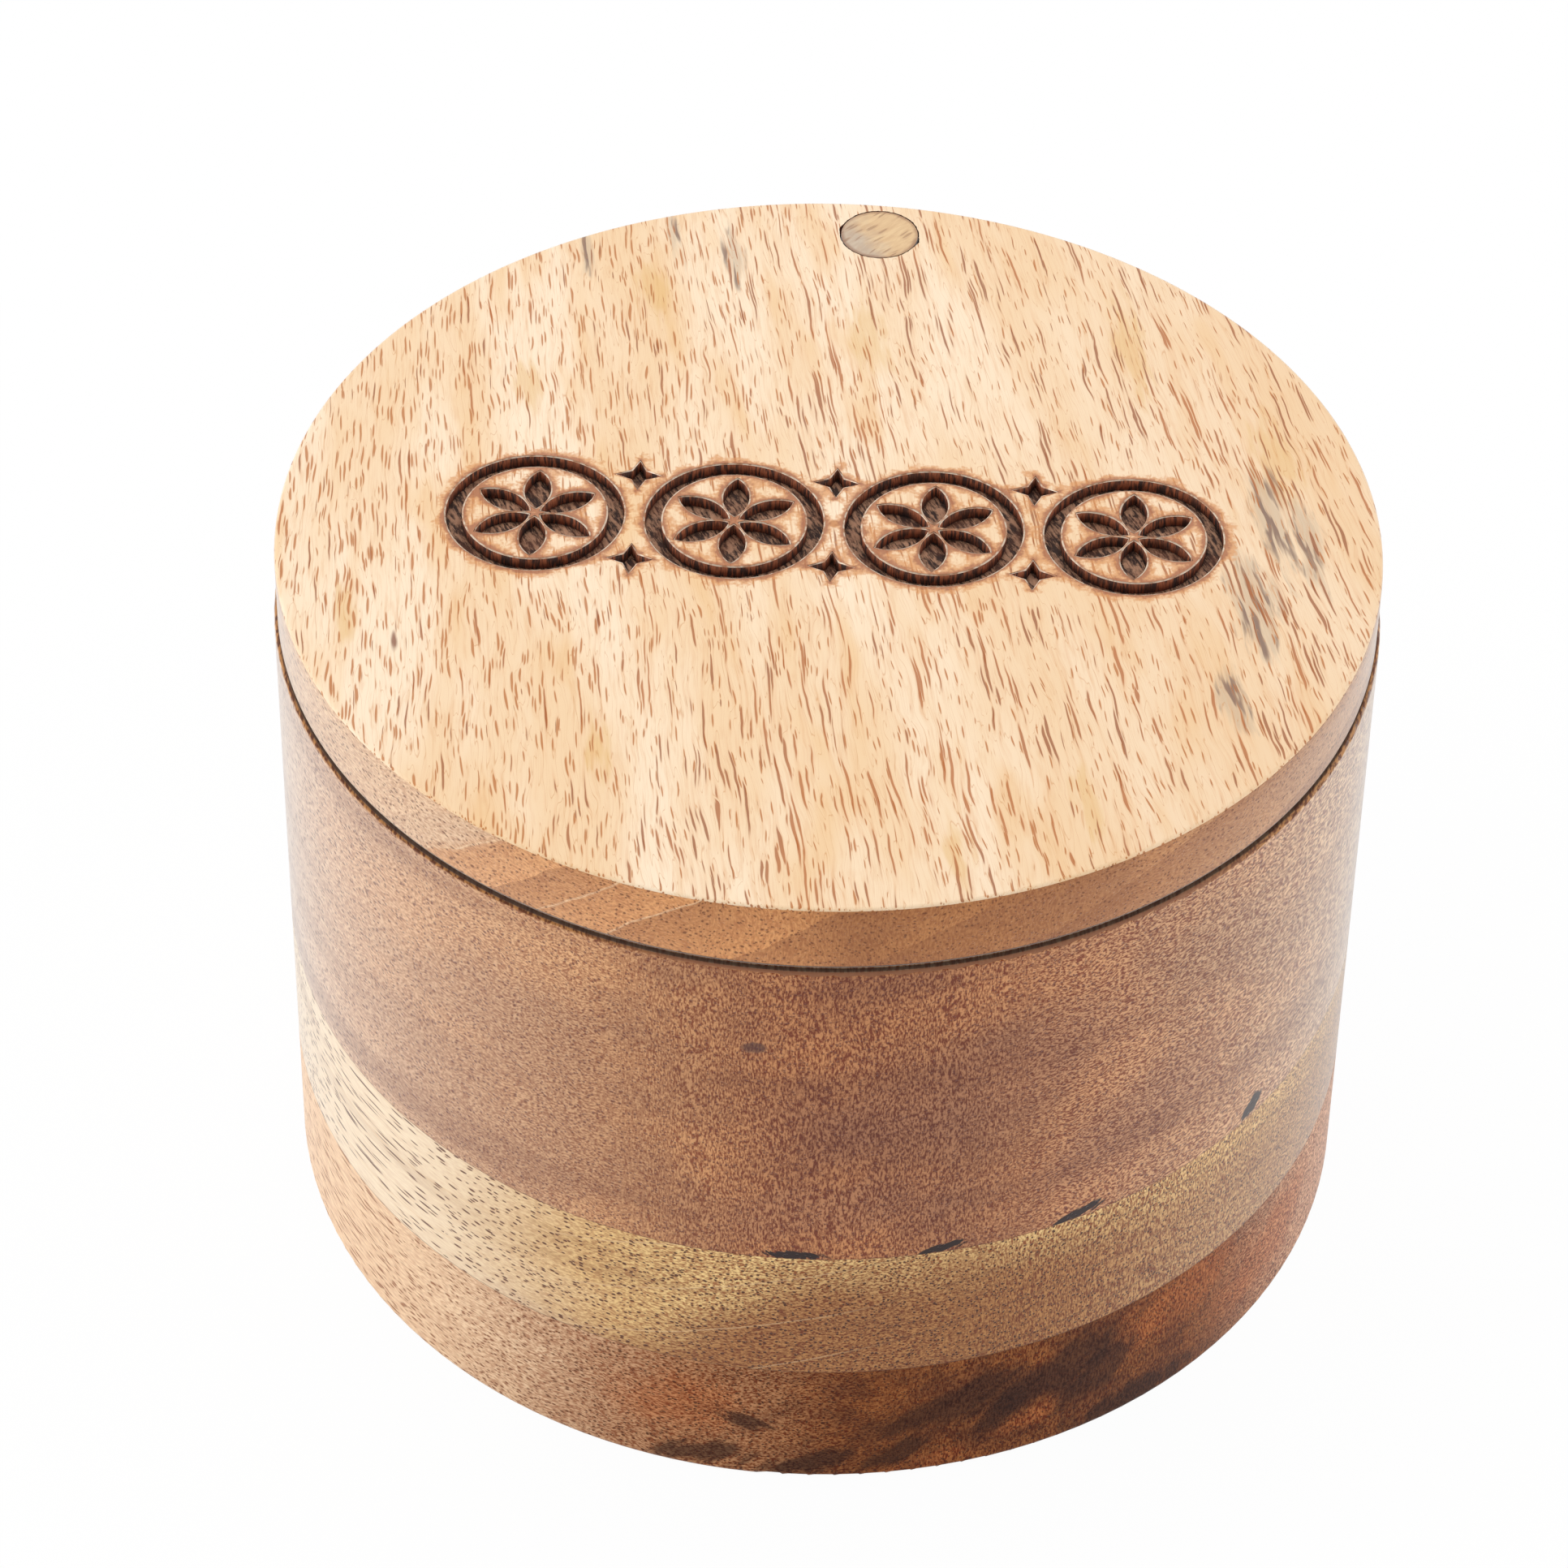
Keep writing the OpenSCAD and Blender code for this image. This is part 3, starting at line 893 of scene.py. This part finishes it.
    floor = burnt_wood("burnt_floor", srgb(190, 144, 114), srgb(50, 27, 18), upright=False)
    wall = burnt_wood("burnt_wall", srgb(164, 92, 58), srgb(54, 28, 20), upright=True)
    lid = solid.build("carved_lid", [lid_wood(), floor, wall, worn_edge()])
    away = lid.data.attributes.new("from_carving", "FLOAT", "POINT")
    away.data.foreach_set("value", [min(near.find((v.co.x, v.co.y, 0))[2] / MM, 9.0)
                                    if v.co.z > LID_TOP - EDGE_WEAR_DEPTH / 2 else 9.0
                                    for v in lid.data.vertices])
    for face in lid.data.polygons:
        face.use_smooth = abs(face.normal.z) < 0.999
    return lid


def use_material(node, material):
    """Gives a carried-over node its material."""
    node.data.materials.clear()
    node.data.materials.append(material)


lid = carved_lid()
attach(lid, "swivel_lid")
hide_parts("lid")

use_material(frame["nodes"]["upper_layer"], upper_wood())
use_material(frame["nodes"]["middle_layer"], middle_wood())
use_material(frame["nodes"]["base_layer"], base_wood())
use_material(frame["nodes"]["pivot_plug"], plug_wood())
steel = zinc_steel()
use_material(frame["nodes"]["pivot_screw"], steel)
use_material(frame["nodes"]["head_washer"], steel)
use_material(frame["nodes"]["spacer_washer"], nylon())
plate = nickel_plate()
use_material(frame["nodes"]["rim_magnet"], plate)
use_material(frame["nodes"]["lid_magnet"], plate)


def camera():
    azimuth = math.radians(CAMERA_AZIMUTH)
    elevation = math.radians(CAMERA_ELEVATION)
    back = Vector((math.sin(azimuth) * math.cos(elevation), -math.cos(azimuth) * math.cos(elevation),
                   math.sin(elevation)))
    right = Vector((math.cos(azimuth), math.sin(azimuth), 0))
    made = bpy.data.objects.new("camera", bpy.data.cameras.new("camera"))
    bpy.context.scene.collection.objects.link(made)
    made.data.lens = CAMERA_LENS
    made.data.sensor_width = SENSOR_WIDTH
    made.data.clip_start = 0.01
    made.location = right * CAMERA_SIDESTEP + Vector((0, 0, CAMERA_TARGET_HEIGHT)) + back * CAMERA_DISTANCE
    made.rotation_mode = "QUATERNION"
    aim = (-back).to_track_quat("-Z", "Y")
    made.rotation_quaternion = aim @ Quaternion((0, 0, 1), math.radians(CAMERA_ROLL))
    bpy.context.scene.camera = made


def softbox(name, azimuth, elevation, distance, size, power):
    """An area lamp that faces the box from a compass direction, counted as the camera's is."""
    lamp = bpy.data.lights.new(name, "AREA")
    lamp.shape = "RECTANGLE"
    lamp.size, lamp.size_y = size
    lamp.energy = power
    made = bpy.data.objects.new(name, lamp)
    bpy.context.scene.collection.objects.link(made)
    around = math.radians(azimuth + CAMERA_AZIMUTH)
    up = math.radians(elevation)
    back = Vector((math.sin(around) * math.cos(up), -math.cos(around) * math.cos(up), math.sin(up)))
    made.location = back * distance + Vector((0, 0, 0.04))
    made.rotation_mode = "QUATERNION"
    made.rotation_quaternion = (-back).to_track_quat("-Z", "Y")


WORLD_STRENGTH = 0.49
# The floor's own white, near the box and far from it, and where the near part ends
FLOOR_GLOW_NEAR = 0.965
FLOOR_GLOW_FAR = 1.0
FLOOR_NEAR = (70.0, 170.0)


def white_rays(tree, seen):
    """1 for the rays that show the background: from the camera, off metal and through glass."""
    first = tree.nodes.new("ShaderNodeMath")
    first.operation = "MAXIMUM"
    tree.links.new(seen.outputs["Is Camera Ray"], first.inputs[0])
    tree.links.new(seen.outputs["Is Glossy Ray"], first.inputs[1])
    both = tree.nodes.new("ShaderNodeMath")
    both.operation = "MAXIMUM"
    tree.links.new(first.outputs[0], both.inputs[0])
    tree.links.new(seen.outputs["Is Transmission Ray"], both.inputs[1])
    return both.outputs[0]


def world():
    made = bpy.data.worlds.new("studio")
    bpy.context.scene.world = made
    made.use_nodes = True
    tree = made.node_tree
    background = tree.nodes["Background"]
    seen = tree.nodes.new("ShaderNodeLightPath")
    strength = tree.nodes.new("ShaderNodeMapRange")
    strength.inputs["To Min"].default_value = WORLD_STRENGTH
    strength.inputs["To Max"].default_value = 1.0
    share = white_rays(tree, seen)
    tree.links.new(share, strength.inputs["Value"])
    tree.links.new(strength.outputs[0], background.inputs["Strength"])
    background.inputs["Color"].default_value = (1, 1, 1, 1)


def floor():
    """A pale floor that the camera sees as almost white, with the box's shadow on it."""
    mesh = bpy.data.meshes.new("studio_floor")
    half = 3.0
    mesh.from_pydata([(-half, -half, 0), (half, -half, 0), (half, half, 0), (-half, half, 0)], [],
                     [(0, 1, 2, 3)])
    made = bpy.data.objects.new("studio_floor", mesh)
    bpy.context.scene.collection.objects.link(made)
    shade = Shade("floor_paper", 0.9)
    tree = shade.tree
    x, y, z = shade.point()
    tooth = shade.noise(x / 3, y / 3, z, detail=2.0)
    shade.finish(shade.mix(tooth, (0.90, 0.90, 0.90), (0.94, 0.94, 0.94)))
    glow = shade.node("Emission", {"Color": (1, 1, 1), "Strength": 1.0})
    seen = white_rays(tree, shade.node("LightPath", {}))
    reach = (x * x + y * y) ** 0.5
    glowing = shade.ramp(reach, *FLOOR_NEAR) * (FLOOR_GLOW_FAR - FLOOR_GLOW_NEAR) + FLOOR_GLOW_NEAR
    share = Value(shade, seen) * glowing
    both = shade.node("MixShader", {0: share, 1: shade.shader.outputs[0], 2: glow.outputs[0]})
    tree.links.new(both.outputs[0], tree.nodes["Material Output"].inputs["Surface"])
    mesh.materials.append(shade.material)


camera()
world()
floor()
softbox("key_left", -85, 20, 0.9, (0.6, 0.9), 4.8)
softbox("fill_right", 85, 20, 0.9, (0.6, 0.9), 3.2)
softbox("top", 180, 70, 1.0, (0.9, 0.6), 3.2)

bpy.context.scene.view_settings.view_transform = "Standard"
